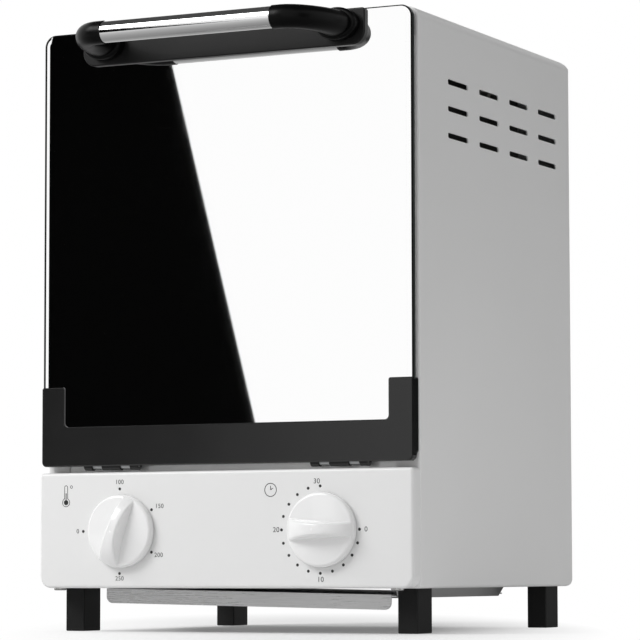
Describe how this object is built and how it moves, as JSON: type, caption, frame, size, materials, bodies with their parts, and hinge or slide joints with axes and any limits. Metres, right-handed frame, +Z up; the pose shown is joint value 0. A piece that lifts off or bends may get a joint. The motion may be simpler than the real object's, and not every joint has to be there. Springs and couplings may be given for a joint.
{
  "type": "dry heat sterilizer",
  "caption": "Upright bench oven for dry heat sterilizing: a steel case on feet with a bottom-hinged glass door, a bar handle, a temperature dial, a timer and a loose tray underneath.",
  "frame": {"origin": "on the floor, under the middle of the bounding box", "axes": "+X to the right seen from the front, +Y from the door to the back, +Z up"},
  "size_m": [0.24, 0.283, 0.3502],
  "materials": {
    "white_paint": "smooth semi-gloss powder coat",
    "door_glass": "dark mirror-like tempered glass",
    "black_moulding": "satin black moulding",
    "black_gloss": "gloss black",
    "black_feet": "matte black",
    "chrome": "polished chrome",
    "bright_steel": "bright stainless steel",
    "plated_steel": "zinc-plated sheet",
    "screw_steel": "bright plated screws",
    "heater_sheath": "dulled stainless sheath",
    "ceramic": "glazed off-white",
    "white_knob": "gloss white moulding",
    "control_housing": "dark phenolic moulding",
    "copper": "bare copper tube",
    "lead_sleeve": "pale silicone sleeve"
  },
  "bodies": {
    "housing": {"bottom_plate": "plated_steel", "bulb_clips": "plated_steel", "ceramic_bushes_left": "ceramic", "ceramic_bushes_right": "ceramic", "control_leads": "lead_sleeve", "control_panel": "white_paint", "control_screws": "screw_steel", "cord_gland": "black_feet", "foot_front_left": "black_feet", "foot_front_right": "black_feet", "foot_rear_left": "black_feet", "foot_rear_right": "black_feet", "foot_screws": "screw_steel", "front_frame": "bright_steel", "heat_shield": "plated_steel", "heater_leads": "lead_sleeve", "heater_lower_front": "heater_sheath", "heater_lower_rear": "heater_sheath", "heater_upper_front": "heater_sheath", "heater_upper_rear": "heater_sheath", "hinge_bracket_left": "bright_steel", "hinge_bracket_right": "bright_steel", "hinge_pin_left": "bright_steel", "hinge_pin_right": "bright_steel", "hinge_screws": "screw_steel", "outer_wrap": "white_paint", "oven_liner": "plated_steel", "panel_screws": "screw_steel", "rack_rail_left": "plated_steel", "rack_rail_right": "plated_steel", "rear_panel": "white_paint", "rear_screws": "screw_steel", "terminal_block": "control_housing", "thermostat_body": "control_housing", "thermostat_bulb": "copper", "timer_bell": "plated_steel", "timer_body": "control_housing", "tray_rail_left": "plated_steel", "tray_rail_right": "plated_steel"},
    "door": {"door_glass": "door_glass", "door_bottom_frame": "black_moulding", "door_clamp_plate": "black_moulding", "clamp_screws": "screw_steel", "side_strip_left": "bright_steel", "side_strip_right": "bright_steel", "door_bumper_left": "black_moulding", "door_bumper_right": "black_moulding", "handle_plate": "black_gloss", "handle_tube": "chrome", "handle_elbow_left": "black_gloss", "handle_elbow_right": "black_gloss", "handle_screws": "screw_steel"},
    "temperature_control": {"temperature_knob": "white_knob", "thermostat_shaft": "bright_steel"},
    "timer_control": {"timer_knob": "white_knob", "timer_shaft": "bright_steel"},
    "crumb_tray": {"crumb_tray": "plated_steel"},
    "rack": {"wire_rack": "bright_steel", "instrument_tray": "bright_steel"}
  },
  "joints": [
    {"name": "door_hinge", "type": "hinge", "parent": "housing", "child": "door", "pos_m": [0, -0.0908, 0.096], "axis": [1, 0, 0], "range_deg": [0, 90]},
    {"name": "temperature_turn", "type": "hinge", "parent": "housing", "child": "temperature_control", "pos_m": [-0.0645, -0.0953, 0.0578], "axis": [0, 1, 0], "range_deg": [-110, 160]},
    {"name": "timer_turn", "type": "hinge", "parent": "housing", "child": "timer_control", "pos_m": [0.0645, -0.0953, 0.0578], "axis": [0, 1, 0], "range_deg": [0, 270]},
    {"name": "crumb_tray_slide", "type": "slide", "parent": "housing", "child": "crumb_tray", "axis": [0, -1, 0], "range_m": [0, 0.15]},
    {"name": "rack_slide", "type": "slide", "parent": "housing", "child": "rack", "axis": [0, -1, 0], "range_m": [0, 0.11]}
  ],
  "couplings": [
    {"joint": "rack_slide", "follows": "door_hinge", "m_per_rad": 0.07}
  ]
}
